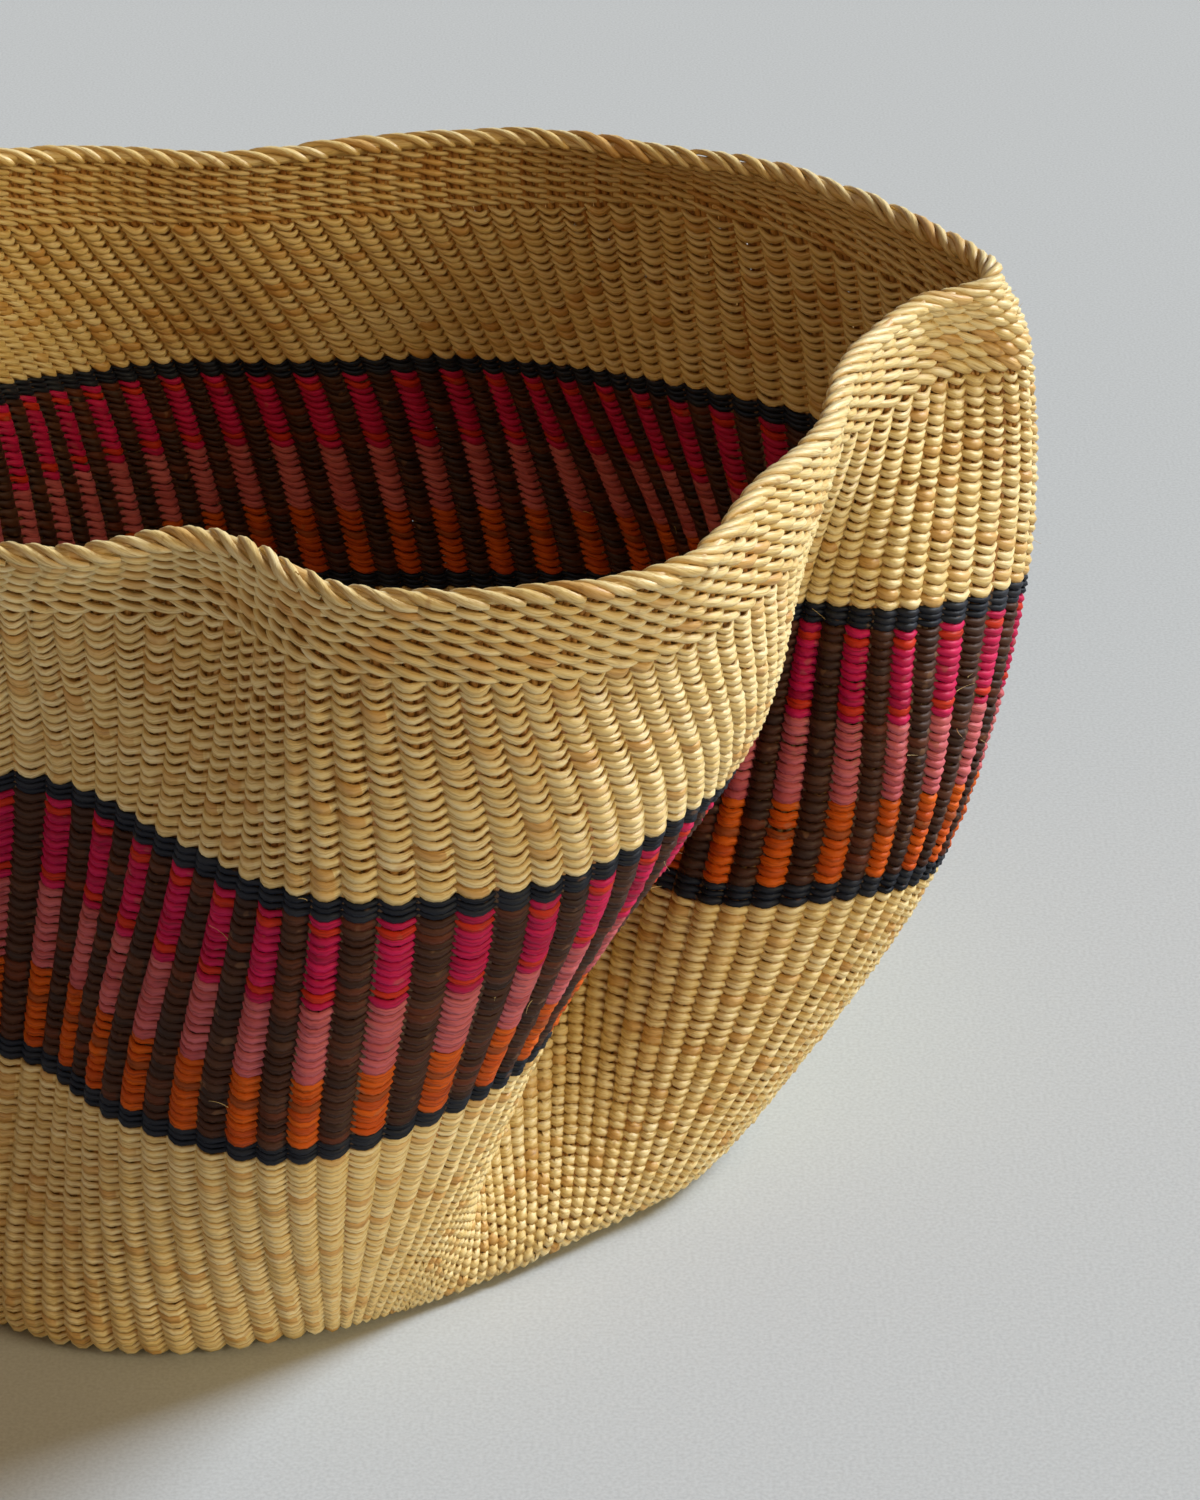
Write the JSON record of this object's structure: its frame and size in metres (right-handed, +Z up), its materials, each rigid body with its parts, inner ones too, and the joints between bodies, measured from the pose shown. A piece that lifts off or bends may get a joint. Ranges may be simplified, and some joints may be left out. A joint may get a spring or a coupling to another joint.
{
  "type": "soft twined basket",
  "caption": "Soft round basket of twined grass, leaning and dented, with a dyed striped band between dark lines, a close collar and a plaited rim.",
  "frame": {"origin": "middle of the flat underside, on the floor", "axes": "+Z up through the mouth, +Y away from the side that the picture shows, +X to the right of that view"},
  "size_m": [0.3714, 0.3609, 0.2436],
  "materials": {
    "straw": "dry split grass, pale straw to golden, slightly glossy along the fibres",
    "rim_straw": "dry split grass, golden tan, plaited",
    "base_straw": "dry split grass, worn and a little duller",
    "navy": "dyed grass, nearly black blue",
    "orange": "dyed grass, burnt orange between dark brown ribs",
    "pink": "dyed grass, dusty pink between dark brown ribs",
    "magenta": "dyed grass, magenta and red between dark brown ribs"
  },
  "bodies": {
    "root": {"base_start": "base_straw", "base_disc": "base_straw", "lower_wall": "straw", "lower_navy_line": "navy", "orange_course": "orange", "pink_course": "pink", "magenta_course": "magenta", "upper_navy_line": "navy", "upper_wall": "straw", "collar": "straw", "rim_braid": "rim_straw"}
  },
  "joints": []
}
